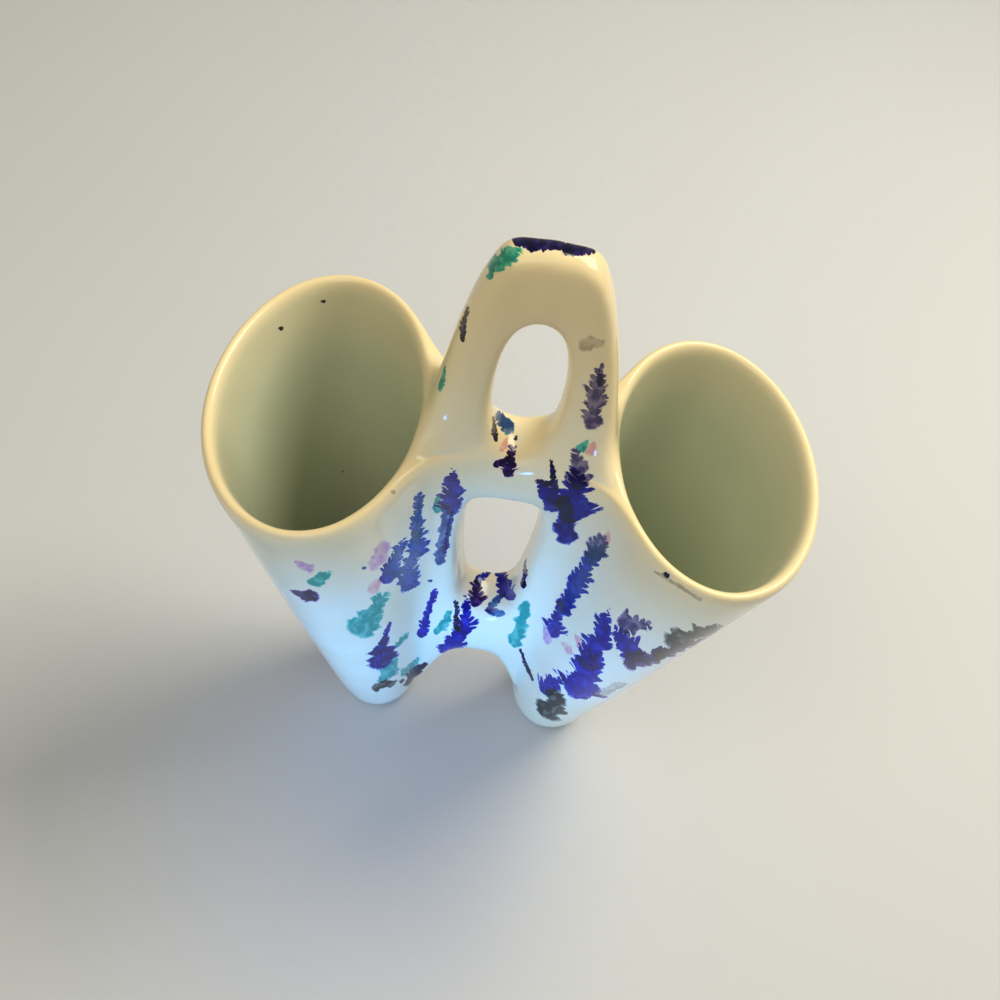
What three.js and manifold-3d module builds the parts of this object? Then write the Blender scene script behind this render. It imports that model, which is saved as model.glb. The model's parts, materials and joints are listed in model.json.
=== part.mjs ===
// Wedding vase: two oval cups splayed in a V, joined by a pierced web and a loop handle.
// Millimetres, +Z up, X runs from cup to cup, and the feet stand on z = 0.
import * as THREE from 'three';
import { mergeVertices } from 'three/addons/utils/BufferGeometryUtils.js';
import Module from 'manifold-3d';

const wasm = await Module();
wasm.setup();

// Cup: half widths along X, half depths along Y
const MOUTH_HEIGHT = 150;
const MOUTH_OFFSET = 57.5;
const MOUTH_HALF_WIDTH = 32.8;
const MOUTH_HALF_DEPTH = 47.9;
const MOUTH_TILT = THREE.MathUtils.degToRad(7.7);
const LEFT_MOUTH_RISE = 5;
const FOOT_OFFSET = 31.5;
const FOOT_HALF_WIDTH = 13.8;
const FOOT_HALF_DEPTH = 16;
const FOOT_ROUNDING = 6.5;
const CUP_BELLY = 1;
const WALL = 4.2;
const FLOOR_THICKNESS = 7;

// Web and handle, given on the middle plane y = 0
const ARCH_HEIGHT = 39;
const WINDOW_BOTTOM = 64;
const WINDOW_TOP = 128;
const WINDOW_HALF_WIDTH = 11.5;
const SADDLE_HEIGHT = 150;
const GRIP_TOP = 198.5;
const GRIP_HALF_WIDTH = 9.7;
const HANDLE_HEIGHT = 221;
const HANDLE_LEAN = 1;
const WEB_HALF_THICKNESS = 11;
const HANDLE_HALF_THICKNESS = 6.8;
const WEB_FLARE = 10.5;
const FLARE_REACH = 26;

// Joint lines between the luted pieces
const BRIDGE_JOINT = 95;
const HANDLE_JOINT = 158;
const JOINT_GAP = 0.3;

// Facets
const CUP_SEGMENTS = 44;
const WALL_STEPS = 9;
const ROUND_STEPS = 4;
const RING_STEPS = 48;
const SECTION_SIDES = 14;
const SECTION_POWER = 0.72;

const GLAZE_WHITE = 0xe9e4d2;
const GLAZE_SHADE = 0xdcd8c4;

const glaze = (name, color) =>
  new THREE.MeshStandardMaterial({ name, color, roughness: 0.12, metalness: 0 });

// Height as a share of the way from the foot to the mouth
const share = (z) => THREE.MathUtils.clamp(z / MOUTH_HEIGHT, 0, 1);

// Half width and half depth of the outer wall at a height
function outerHalf(z) {
  const s = share(z);
  const belly = CUP_BELLY * Math.sin(Math.PI * s);
  return {
    width: THREE.MathUtils.lerp(FOOT_HALF_WIDTH, MOUTH_HALF_WIDTH, s) + belly,
    depth: THREE.MathUtils.lerp(FOOT_HALF_DEPTH, MOUTH_HALF_DEPTH, s) + belly,
  };
}

// A ring of the cup: its height, and how far it is inset from the outer wall there
const ring = (z, inset) => {
  const half = outerHalf(z);
  return { z, width: half.width - inset, depth: half.depth - inset };
};

// Rounded foot, then the outer wall up to the start of the lip
function outerRings(grow) {
  const rings = [{ z: -grow, width: 0, depth: 0 }];
  for (let i = 0; i <= ROUND_STEPS; i += 1) {
    const angle = (Math.PI / 2) * (i / ROUND_STEPS);
    const z = FOOT_ROUNDING * (1 - Math.sin(Math.PI / 2 - angle)) - grow * Math.cos(angle);
    rings.push(ring(z, FOOT_ROUNDING * (1 - Math.sin(angle)) - grow * Math.sin(angle)));
  }
  for (let i = 1; i <= WALL_STEPS; i += 1) {
    const z = THREE.MathUtils.lerp(FOOT_ROUNDING, MOUTH_HEIGHT - WALL / 2, i / WALL_STEPS);
    rings.push(ring(z, -grow));
  }
  return rings;
}

// Round lip, from the outer wall over the top for a share of the half turn
function lipRings(grow, turn) {
  const rings = [];
  const radius = WALL / 2;
  for (let i = 1; i <= ROUND_STEPS; i += 1) {
    const angle = Math.PI * turn * (i / ROUND_STEPS);
    const z = MOUTH_HEIGHT - radius + (radius + grow) * Math.sin(angle);
    rings.push(ring(z, radius - (radius + grow) * Math.cos(angle)));
  }
  return rings;
}

// Inner wall down to the dished floor
function innerRings() {
  const rings = [];
  const dish = FLOOR_THICKNESS + FOOT_ROUNDING;
  for (let i = 1; i <= WALL_STEPS; i += 1) {
    const z = THREE.MathUtils.lerp(MOUTH_HEIGHT - WALL / 2, dish, i / WALL_STEPS);
    rings.push(ring(z, WALL));
  }
  for (let i = 1; i < ROUND_STEPS; i += 1) {
    const angle = (Math.PI / 2) * (i / ROUND_STEPS);
    const z = dish - FOOT_ROUNDING * Math.sin(angle);
    rings.push(ring(z, WALL + FOOT_ROUNDING * (1 - Math.cos(angle))));
  }
  rings.push({ z: FLOOR_THICKNESS, width: 0, depth: 0 });
  return rings;
}

// Moves a point of an upright cup onto the splayed axis and tips the mouth outwards.
// The left mouth was thrown less even: its far edge stands a little higher.
function splay(point, side) {
  const s = share(point.z);
  const drop = Math.tan(MOUTH_TILT) * point.x;
  const rise = side < 0 ? LEFT_MOUTH_RISE * (0.5 + (0.5 * point.y) / MOUTH_HALF_DEPTH) : 0;
  const offset = THREE.MathUtils.lerp(FOOT_OFFSET, MOUTH_OFFSET, point.z / MOUTH_HEIGHT);
  point.set(side * (point.x + offset), point.y, point.z + (rise - drop) * s * s);
}

// Merges shared vertices and turns the faces outwards
function weld(geometry) {
  const bare = geometry.clone();
  bare.deleteAttribute('normal');
  bare.deleteAttribute('uv');
  const merged = mergeVertices(bare, 1e-3);
  const position = merged.attributes.position;
  const kept = [];
  let volume = 0;
  const corner = [new THREE.Vector3(), new THREE.Vector3(), new THREE.Vector3()];
  for (let i = 0; i < merged.index.count; i += 3) {
    const face = [0, 1, 2].map((k) => merged.index.getX(i + k));
    if (new Set(face).size === 3) {
      face.forEach((vertex, k) => corner[k].fromBufferAttribute(position, vertex));
      volume += corner[0].dot(corner[1].clone().cross(corner[2]));
      kept.push(...face);
    }
  }
  merged.setIndex(volume < 0 ? kept.reverse() : kept);
  return merged;
}

// Revolves the rings as ovals and splays the result to one side
function splayedOval(rings, side) {
  const profile = rings.map((r) => new THREE.Vector2(r.depth, r.z));
  const geometry = new THREE.LatheGeometry(profile, CUP_SEGMENTS);
  geometry.rotateX(Math.PI / 2);
  const position = geometry.attributes.position;
  const point = new THREE.Vector3();
  for (let i = 0; i < position.count; i += 1) {
    const { width, depth } = rings[i % rings.length];
    point.fromBufferAttribute(position, i);
    point.x *= depth > 0 ? width / depth : 0;
    splay(point, side);
    position.setXYZ(i, point.x, point.y, point.z);
  }
  return weld(geometry);
}

const cup = (side) => splayedOval([...outerRings(0), ...lipRings(0, 1), ...innerRings()], side);

// A filled cup, a joint gap larger than the real one, that the web is cut back by
const cupCutter = (side) => {
  const middle = { z: MOUTH_HEIGHT + JOINT_GAP, width: 0, depth: 0 };
  return splayedOval([...outerRings(JOINT_GAP), ...lipRings(JOINT_GAP, 1 / 2), middle], side);
};

// Half thickness of the web: full between the cups, thin in the handle, flared at the cups
function halfThickness(x, z) {
  const rise = THREE.MathUtils.smoothstep(z, SADDLE_HEIGHT - 12, SADDLE_HEIGHT + 24);
  const middle = THREE.MathUtils.lerp(WEB_HALF_THICKNESS, HANDLE_HALF_THICKNESS, rise);
  const reach = Math.min(Math.abs(x) / FLARE_REACH, 1.1);
  const flare = (WEB_FLARE * outerHalf(z).depth) / MOUTH_HALF_DEPTH;
  return middle + flare * reach ** 3 * (1 - rise);
}

// Closed smooth loop through right-hand points and their mirror images
function mirroredLoop(points) {
  const right = points.map(([x, z]) => new THREE.Vector3(x, 0, z));
  const left = right.slice(1, -1).reverse().map((p) => new THREE.Vector3(-p.x, 0, p.z));
  return new THREE.CatmullRomCurve3([...right, ...left], true, 'centripetal');
}

// Pulls a sine or cosine outwards, so that a round section turns into a soft-cornered one
const squarer = (value) => Math.sign(value) * Math.abs(value) ** SECTION_POWER;

// A ring of clay round one hole, between matching points of the hole's edge and the outer edge
function piercedRing(pairs) {
  const inner = mirroredLoop(pairs.map((pair) => pair.hole));
  const outer = mirroredLoop(pairs.map((pair) => pair.edge));
  const geometry = new THREE.TorusGeometry(2, 1, SECTION_SIDES, RING_STEPS);
  const { position, uv } = geometry.attributes;
  for (let i = 0; i < position.count; i += 1) {
    const turn = uv.getX(i) % 1;
    const angle = 2 * Math.PI * (uv.getY(i) % 1);
    const across = 0.5 - 0.5 * squarer(Math.cos(angle));
    const point = inner.getPoint(turn).lerp(outer.getPoint(turn), across);
    const lean = HANDLE_LEAN * THREE.MathUtils.smoothstep(point.z, SADDLE_HEIGHT, HANDLE_HEIGHT);
    const y = halfThickness(point.x, point.z) * squarer(Math.sin(angle));
    position.setXYZ(i, point.x - lean, y, point.z);
  }
  return weld(geometry);
}

// Round the window: its hole, and the arch below, the cups beside it and the saddle above
const windowRing = () => piercedRing([
  { hole: [0, WINDOW_BOTTOM], edge: [0, ARCH_HEIGHT] },
  { hole: [5.5, WINDOW_BOTTOM + 2], edge: [8, ARCH_HEIGHT - 4] },
  { hole: [8.4, WINDOW_BOTTOM + 8], edge: [12.8, ARCH_HEIGHT - 13] },
  { hole: [WINDOW_HALF_WIDTH - 1.4, WINDOW_BOTTOM + 20], edge: [18.5, ARCH_HEIGHT - 29] },
  { hole: [WINDOW_HALF_WIDTH, WINDOW_TOP - 28], edge: [36, WINDOW_BOTTOM] },
  { hole: [WINDOW_HALF_WIDTH - 0.4, WINDOW_TOP - 9], edge: [44, WINDOW_TOP - 18] },
  { hole: [WINDOW_HALF_WIDTH - 4, WINDOW_TOP - 1.5], edge: [36, SADDLE_HEIGHT - 3] },
  { hole: [0, WINDOW_TOP], edge: [0, SADDLE_HEIGHT] },
]);

// Round the finger hole: its oval, the top of the window, the cups' lips and the handle's outline
const gripRing = () => piercedRing([
  { hole: [0, SADDLE_HEIGHT], edge: [0, WINDOW_TOP] },
  { hole: [4.5, SADDLE_HEIGHT + 1.4], edge: [15, WINDOW_TOP + 1] },
  { hole: [8, SADDLE_HEIGHT + 6.5], edge: [26, SADDLE_HEIGHT - 14] },
  { hole: [GRIP_HALF_WIDTH, SADDLE_HEIGHT + 15], edge: [27.5, SADDLE_HEIGHT + 2] },
  { hole: [GRIP_HALF_WIDTH, GRIP_TOP - 23], edge: [24.2, GRIP_TOP - 28] },
  { hole: [GRIP_HALF_WIDTH - 1.5, GRIP_TOP - 11], edge: [21.3, HANDLE_HEIGHT - 32] },
  { hole: [5, GRIP_TOP - 2.6], edge: [16.4, HANDLE_HEIGHT - 9] },
  { hole: [2.5, GRIP_TOP - 0.5], edge: [11, HANDLE_HEIGHT - 1.6] },
  { hole: [0, GRIP_TOP], edge: [0, HANDLE_HEIGHT] },
]);

function toSolid(geometry) {
  const mesh = new wasm.Mesh({
    numProp: 3,
    vertProperties: new Float32Array(geometry.attributes.position.array),
    triVerts: new Uint32Array(geometry.index.array),
  });
  return new wasm.Manifold(mesh);
}

function toGeometry(solid) {
  const mesh = solid.getMesh();
  const geometry = new THREE.BufferGeometry();
  geometry.setAttribute('position', new THREE.BufferAttribute(mesh.vertProperties, 3));
  geometry.setIndex(new THREE.BufferAttribute(mesh.triVerts, 1));
  geometry.computeVertexNormals();
  return geometry;
}

// A level slab, wide and deep enough to hold the whole web between two heights
function slab(bottom, top) {
  const reach = 4 * MOUTH_OFFSET;
  const box = new THREE.BoxGeometry(reach, reach, top - bottom);
  box.translate(0, 0, (bottom + top) / 2);
  return toSolid(weld(box));
}

const web = toSolid(windowRing()).add(toSolid(gripRing()));
const webBetweenCups = web.subtract(toSolid(cupCutter(1))).subtract(toSolid(cupCutter(-1)));
const webPiece = (bottom, top) => toGeometry(webBetweenCups.intersect(slab(bottom, top)));

function named(name, geometry, material) {
  const mesh = new THREE.Mesh(geometry, material);
  mesh.name = name;
  return mesh;
}

const vase = new THREE.Group();
const half = JOINT_GAP / 2;
vase.add(named('left_cup', cup(-1), glaze('cup_glaze', GLAZE_WHITE)));
vase.add(named('right_cup', cup(1), glaze('cup_glaze', GLAZE_WHITE)));
vase.add(named('lower_bridge', webPiece(0, BRIDGE_JOINT - half), glaze('web_glaze', GLAZE_SHADE)));
vase.add(named('upper_bridge', webPiece(BRIDGE_JOINT + half, HANDLE_JOINT - half), glaze('web_glaze', GLAZE_SHADE)));
vase.add(named('loop_handle', webPiece(HANDLE_JOINT + half, 2 * HANDLE_HEIGHT), glaze('web_glaze', GLAZE_SHADE)));

export default vase;
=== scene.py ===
"""A glazed wedding vase: two oval cups, a pierced web between them and a loop handle on top."""
import json
import logging
import random
from dataclasses import dataclass, field, replace
from enum import Enum
from math import cos, pi, radians, sin, sqrt, tan, tau

import bmesh
import bpy
import numpy as np
from mathutils import Matrix, Vector, noise
from mathutils.bvhtree import BVHTree


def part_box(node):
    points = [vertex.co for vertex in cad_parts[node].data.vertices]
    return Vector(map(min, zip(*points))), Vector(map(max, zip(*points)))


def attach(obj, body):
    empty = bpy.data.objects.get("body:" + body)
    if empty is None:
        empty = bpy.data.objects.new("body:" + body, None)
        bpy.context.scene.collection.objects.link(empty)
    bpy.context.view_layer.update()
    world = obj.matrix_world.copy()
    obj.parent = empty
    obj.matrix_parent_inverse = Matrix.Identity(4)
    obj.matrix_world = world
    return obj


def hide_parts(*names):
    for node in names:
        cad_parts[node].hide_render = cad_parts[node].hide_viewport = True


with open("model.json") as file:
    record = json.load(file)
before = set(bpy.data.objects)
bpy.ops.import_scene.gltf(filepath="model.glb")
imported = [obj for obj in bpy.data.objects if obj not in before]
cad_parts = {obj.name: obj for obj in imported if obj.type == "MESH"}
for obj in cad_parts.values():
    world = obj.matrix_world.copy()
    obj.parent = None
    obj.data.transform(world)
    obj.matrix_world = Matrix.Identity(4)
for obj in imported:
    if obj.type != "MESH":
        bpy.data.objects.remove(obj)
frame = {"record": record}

log = logging.getLogger("wedding_vase")

Pair = tuple[float, float]
Triple = tuple[float, float, float]

MM = 0.001
SUBDIVISIONS = 4
COLUMNS = 16
WEB_FACES = {COLUMNS - 1: -1, 0: 0, 1: 1}
WEB_COLUMNS = tuple(WEB_FACES)
LIMB_ROW = 100
INSIDE = "inside"
FOLD = "fold"
NORMAL = "skin_normal"
PLACE = "dab_place_"
REACH = "dab_reach_"
STAIN = "dab_stain_"
COVER = "dab_cover_"
STAIN_LAYERS = 6
FAR_AWAY = 99.0
WARM = (1.0, 0.91, 0.72)
COOL = (0.08, 0.42, 1.0)


class Part(Enum):
    """The five thrown and joined parts; the value is the face slot in the whole skin."""

    RIGHT_CUP = 0
    LEFT_CUP = 1
    LOWER_BRIDGE = 2
    UPPER_BRIDGE = 3
    LOOP_HANDLE = 4

    @property
    def node(self) -> str:
        """The name of the frame's node that this part stands for."""
        return self.name.lower()


def lerp(start: float, end: float, share: float) -> float:
    """The number that lies share of the way from start to end."""
    return start + (end - start) * share


def smooth(value: float, low: float, high: float) -> float:
    """A soft step from 0 at low to 1 at high."""
    share = min(max((value - low) / (high - low), 0.0), 1.0)
    return share * share * (3.0 - 2.0 * share)


@dataclass(frozen=True)
class Band:
    """A stretch of one measure, in millimetres, that fades in, and out again where it has an end."""

    rise: Pair | None = None
    fall: Pair | None = None

    def share(self, value: float) -> float:
        """How far a measure, in metres, lies in the band, from 0 to 1."""
        share = smooth(value, self.rise[0] * MM, self.rise[1] * MM) if self.rise else 1.0
        return share * (1 - smooth(value, self.fall[0] * MM, self.fall[1] * MM)) if self.fall else share


def show(name: str, data: bpy.types.ID) -> bpy.types.Object:
    """Puts a new object with this data in the scene and returns it."""
    thing = bpy.data.objects.new(name, data)
    bpy.context.scene.collection.objects.link(thing)
    return thing


def to_mesh(bm: bmesh.types.BMesh, name: str) -> bpy.types.Mesh:
    """Turns a finished bmesh into a mesh and frees it.

    Args:
        bm: The bmesh.
        name: The mesh's name.

    Returns:
        The mesh.
    """
    mesh = bpy.data.meshes.new(name)
    bm.to_mesh(mesh)
    bm.free()
    return mesh


def pull(items: bpy.types.bpy_prop_collection, key: str, width: int, kind: type = np.float32) -> np.ndarray:
    """Reads one property of every item, a row of this many numbers for each."""
    values = np.empty(len(items) * width, kind)
    items.foreach_get(key, values)
    return values.reshape(-1, width)


@dataclass(frozen=True)
class Ring:
    """One level ring of a cup: its height in the upright cup and how far inside the wall it lies."""

    height: float
    inset: float = 0.0


@dataclass(frozen=True)
class CupSizes:
    """The sizes of one cup, in metres, as it is thrown upright and then splayed outwards."""

    foot_offset: float
    mouth_half_depth: float
    mouth_height: float = 150.0 * MM
    mouth_offset: float = 57.5 * MM
    mouth_half_width: float = 32.8 * MM
    mouth_tilt: float = radians(7.7)
    foot_half_width: float = 13.8 * MM
    foot_half_depth: float = 16.0 * MM
    belly: float = 1.0 * MM
    wall: float = 4.2 * MM
    floor: float = 7.0 * MM
    roundness_gain: float = 1.026
    column_shift: float = radians(4.5)

    @classmethod
    def from_frame(cls) -> "CupSizes":
        """The cup's sizes, with its depth and its foot's place taken from the frame.

        Returns:
            The sizes that the right cup of the frame was built with.
        """
        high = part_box(Part.RIGHT_CUP.node)[1]
        foot = max(mount["pos_m"][0] for mount in frame["record"]["mounts"])
        return cls(foot_offset=foot, mouth_half_depth=high.y)

    def rings(self) -> list[Ring]:
        """The rings of a cup, from the middle of its foot up over the lip and down to its floor.

        Returns:
            The rings in the order in which the wall is drawn up.
        """
        foot = [Ring(0.0, 8.5 * MM), Ring(0.0, 4.2 * MM), Ring(3.0 * MM, 0.1 * MM)]
        outside = [Ring(height * MM) for height in (12, 26, 39, 51, 64, 80, 95, 112, 128, 139)]
        lip = [
            Ring(147.3 * MM, -0.5 * MM),
            Ring(150.7 * MM, self.wall * 0.18),
            Ring(150.7 * MM, self.wall * 0.78),
            Ring(147.3 * MM, self.wall * 1.02),
        ]
        inside = [Ring(height * MM, self.wall) for height in (139, 112, 80, 48, 22)]
        bowl = [Ring(self.floor + 4 * MM, self.wall + 0.8 * MM), Ring(self.floor, self.wall + 5 * MM)]
        return foot + outside + lip + inside + bowl

    def point(self, ring: Ring, column: int) -> Vector:
        """The place of a cage point of the right cup.

        Args:
            ring: The ring that the point is on.
            column: The point's number round the ring, 0 facing the other cup.

        Returns:
            The point in the frame, in metres.
        """
        share = ring.height / self.mouth_height
        angle = tau * column / COLUMNS
        angle += self.column_shift * sin(2 * angle)
        swell = self.belly * sin(pi * min(share, 1.0)) - ring.inset
        half_width = lerp(self.foot_half_width, self.mouth_half_width, share) + swell
        half_depth = lerp(self.foot_half_depth, self.mouth_half_depth, share) + swell
        across = -cos(angle) * half_width * self.roundness_gain
        along = sin(angle) * half_depth * self.roundness_gain
        drop = tan(self.mouth_tilt) * across * share * share
        return Vector((across + lerp(self.foot_offset, self.mouth_offset, share), along, ring.height - drop))


@dataclass(frozen=True)
class WebLevel:
    """One level of the web beside a cup: its free edge, half thickness, and the middle if it crosses."""

    edge: float
    height: float
    thickness: float
    middle_height: float | None = None
    middle_thickness: float = 0.0


@dataclass(frozen=True)
class LimbRing:
    """One ring of a handle limb: where it stands on the finger hole's side and on the outside."""

    inner: Pair
    outer: Pair
    inner_thickness: float
    outer_thickness: float


class Layer(Enum):
    """The number layers that tell the cage's points apart."""

    ROW = "row"
    COLUMN = "column"
    STATION = "station"


@dataclass
class SkinCage:
    """The whole clay body as one coarse cage, half of it modelled and the rest mirrored.

    The plain numbers of the web, the limb, the bar and the bands are in millimetres.
    """

    cup: CupSizes
    # The rows of the cage where the web, its two bridges and the handle's bar begin and end.
    first_web_row: int = 3
    lip_row: int = 15
    lower_rows: tuple[int, int] = (5, 7)
    upper_rows: tuple[int, int] = (11, 15)
    bar_rows: tuple[int, int] = (LIMB_ROW + 3, LIMB_ROW + 5)
    # How far the clay leans and sags, and where.
    left_mouth_rise: float = 5.0 * MM
    handle_lean: float = 1.0 * MM
    web_sag: float = 4.0 * MM
    sill_rise: float = 2.2 * MM
    window_pinch: float = 1.9 * MM
    left_side: Band = Band((8.5, 25.0))
    below_bar: Band = Band(fall=(158.0, 176.0))
    web_side: Band = Band((2.0, 10.0), (18.0, 26.0))
    web_middle: Band = Band(fall=(14.0, 24.0))
    back: Band = Band((-6.0, 8.0))
    arch: Band = Band((3.0, 12.0), (27.0, 42.0))
    sill: Band = Band((57.0, 63.0), (70.0, 92.0))
    window: Band = Band((52.0, 62.0), (128.0, 138.0))
    window_side: Band = Band((1.0, 6.0), (12.0, 22.0))
    handle: Band = Band((150.0, 221.0))
    # Where the cage's points lie, as shares of the sizes and as lengths, so that the rounded skin keeps them.
    corner: float = 0.908
    side: float = 1.046
    edge_bulge: float = 0.8
    edge_flute: float = 1.0
    hug: float = 0.42
    lip_hug: float = 0.2
    crown: Pair = (0.6, -1.6)
    crown_middle: float = 0.8
    bar_round: Pair = (0.9, -0.7)
    bar_underside: float = 4.4
    bar_middle: float = 1.6
    # The web's levels by row, and the rings of the handle's limb from below.
    web: dict[int, WebLevel] = field(default_factory=lambda: {
        3: WebLevel(17.9, 14.2, 7.2),
        4: WebLevel(13.9, 25.0, 8.6),
        5: WebLevel(8.6, 37.4, 10.0, 38.9, 9.7),
        6: WebLevel(8.6, 51.5, 11.6, 51.5, 11.4),
        7: WebLevel(8.8, 65.2, 10.0, 64.2, 9.7),
        8: WebLevel(10.6, 80, 9.4),
        9: WebLevel(12.2, 95, 9.4),
        10: WebLevel(12.6, 112, 9.6),
        11: WebLevel(10.9, 128.0, 9.8, 128.0, 9.7),
        12: WebLevel(9.0, 134.5, 11.6, 134.5, 11.4),
        13: WebLevel(8.8, 141.5, 11.6, 141.5, 11.4),
        14: WebLevel(8.8, 147.2, 10.4, 144.8, 10.2),
        15: WebLevel(7.6, 151.0, 7.6, 146.4, 7.2),
    })
    limb: tuple[LimbRing, ...] = (
        LimbRing((9.2, 158.5), (26.6, 158.5), 8.2, 12.6),
        LimbRing((9.9, 168.0), (25.0, 168.0), 7.4, 8.8),
        LimbRing((9.5, 181.0), (22.8, 182.0), 6.9, 7.0),
        LimbRing((6.7, 194.5), (20.2, 196.0), 6.8, 6.8),
        LimbRing((4.8, 209.5), (17.0, 208.5), 6.8, 6.8),
        LimbRing((4.8, 220.8), (12.9, 218.4), 6.8, 6.6),
    )

    def build(self) -> bmesh.types.BMesh:
        """Builds the cage of the whole vase.

        Returns:
            A closed cage whose face slots say which part each face belongs to.
        """
        self.bm = bmesh.new()
        for layer in Layer:
            self.bm.verts.layers.int.new(layer.value)
        self.raise_cup()
        self.draw_out_web()
        self.draw_up_limb()
        self.name_parts()
        self.mirror()
        self.settle()
        self.mark_inside()
        bmesh.ops.recalc_face_normals(self.bm, faces=self.bm.faces[:])
        for layer in Layer:
            self.bm.verts.layers.int.remove(self.bm.verts.layers.int[layer.value])
        self.put_in_order()
        return self.bm

    def put_in_order(self) -> None:
        """Gives the points, edges and faces the same order each time, which the operators don't."""
        def corners(item: bmesh.types.BMEdge | bmesh.types.BMFace) -> list[int]:
            """The numbers of an edge's or a face's points."""
            return sorted(vert.index for vert in item.verts)

        def place(vert: bmesh.types.BMVert) -> tuple[float, ...]:
            """A point's place."""
            return tuple(vert.co)

        for items, key in ((self.bm.verts, place), (self.bm.edges, corners), (self.bm.faces, corners)):
            ranks = {item: rank for rank, item in enumerate(sorted(items, key=key))}
            items.sort(key=ranks.get)
            items.index_update()

    def tag(self, vert: bmesh.types.BMVert, layer: Layer) -> int:
        """The number that a cage point has in a layer."""
        return vert[self.bm.verts.layers.int[layer.value]]

    def retag(self, vert: bmesh.types.BMVert, layer: Layer, value: int) -> None:
        """Gives a cage point its number in a layer."""
        vert[self.bm.verts.layers.int[layer.value]] = value

    def faces_of(self, rows: tuple[int, int], stations: tuple[int, ...]) -> list[bmesh.types.BMFace]:
        """Finds the faces that lie wholly in a patch of the web's columns.

        Args:
            rows: The patch's lowest and highest row.
            stations: The web stations that it covers.

        Returns:
            The faces whose corners are all in the patch.
        """
        return [
            face for face in self.bm.faces
            if all(
                rows[0] <= self.tag(vert, Layer.ROW) <= rows[1]
                and self.tag(vert, Layer.COLUMN) in WEB_COLUMNS
                and self.tag(vert, Layer.STATION) in stations
                for vert in face.verts
            )
        ]

    def push_out(self, faces: list[bmesh.types.BMFace]) -> list[bmesh.types.BMVert]:
        """Extrudes a patch of faces and drops the faces that it started from.

        Args:
            faces: The patch.

        Returns:
            The new points, which carry the numbers of the points that they stand on.
        """
        edges = list(dict.fromkeys(edge for face in faces for edge in face.edges))
        pushed = bmesh.ops.extrude_face_region(self.bm, geom=faces + edges)
        return [item for item in pushed["geom"] if isinstance(item, bmesh.types.BMVert)]

    def raise_cup(self) -> None:
        """Draws the right cup up from its foot, over the lip and down to its floor."""
        rings = self.cup.rings()
        radius = self.cup.foot_half_width
        ring = bmesh.ops.create_circle(self.bm, cap_ends=True, segments=COLUMNS, radius=radius)["verts"]
        for column, vert in enumerate(ring):
            self.retag(vert, Layer.COLUMN, column)
            vert.co = self.cup.point(rings[0], column)
        edges = list(dict.fromkeys(edge for vert in ring for edge in vert.link_edges))
        for row, level in enumerate(rings[1:], start=1):
            drawn = bmesh.ops.extrude_edge_only(self.bm, edges=edges)["geom"]
            edges = [item for item in drawn if isinstance(item, bmesh.types.BMEdge)]
            for vert in (item for item in drawn if isinstance(item, bmesh.types.BMVert)):
                self.retag(vert, Layer.ROW, row)
                vert.co = self.cup.point(level, self.tag(vert, Layer.COLUMN))
            edges = [edge for edge in edges if all(self.tag(v, Layer.ROW) == row for v in edge.verts)]
        bmesh.ops.contextual_create(self.bm, geom=edges)

    def web_point(self, vert: bmesh.types.BMVert, station: int) -> Vector:
        """The place of a point of the web.

        Args:
            vert: A point that carries its row and column.
            station: 1 half way from the cup, 2 at the free edge, 3 on the middle plane.

        Returns:
            The point in the frame, in metres.
        """
        row = self.tag(vert, Layer.ROW)
        column = self.tag(vert, Layer.COLUMN)
        level = self.web[row]
        face = WEB_FACES[column]
        if station == 3:
            under = row in (self.lower_rows[0], self.upper_rows[0])
            over = row in (self.lower_rows[1], self.upper_rows[1])
            lift = self.edge_bulge * (over - under) * (1 - abs(face))
            return Vector((0, face * level.middle_thickness * MM, (level.middle_height + lift) * MM))
        inset = 0.0 if face else -self.edge_flute
        edge = Vector(((level.edge + inset) * MM, face * level.thickness * MM, level.height * MM))
        if station == 2:
            return edge
        wall = self.cup.point(self.cup.rings()[row], column)
        middle = edge.lerp(wall, 0.5)
        middle.y = lerp(edge.y, wall.y, self.hug)
        if row == self.lip_row:
            middle.z = lerp(edge.z, wall.z, self.lip_hug)
        return middle

    def draw_out_web(self) -> None:
        """Draws the web out of the cup's facing side, and its two bridges on to the middle plane."""
        rows = (self.first_web_row, self.lip_row)
        for station in (1, 2):
            patch = self.faces_of(rows, (station - 1,))
            self.move_out(patch, station)
        for rows in (self.lower_rows, self.upper_rows):
            patch = self.faces_of(rows, (2,))
            self.move_out(patch, 3)
        bmesh.ops.delete(self.bm, geom=self.faces_of((0, self.lip_row), (3,)), context="FACES")

    def move_out(self, patch: list[bmesh.types.BMFace], station: int) -> None:
        """Extrudes a patch of the web and puts its points at a station.

        Args:
            patch: The faces to draw out.
            station: Where their new points go.
        """
        for vert in self.push_out(patch):
            self.retag(vert, Layer.STATION, station)
            vert.co = self.web_point(vert, station)

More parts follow.
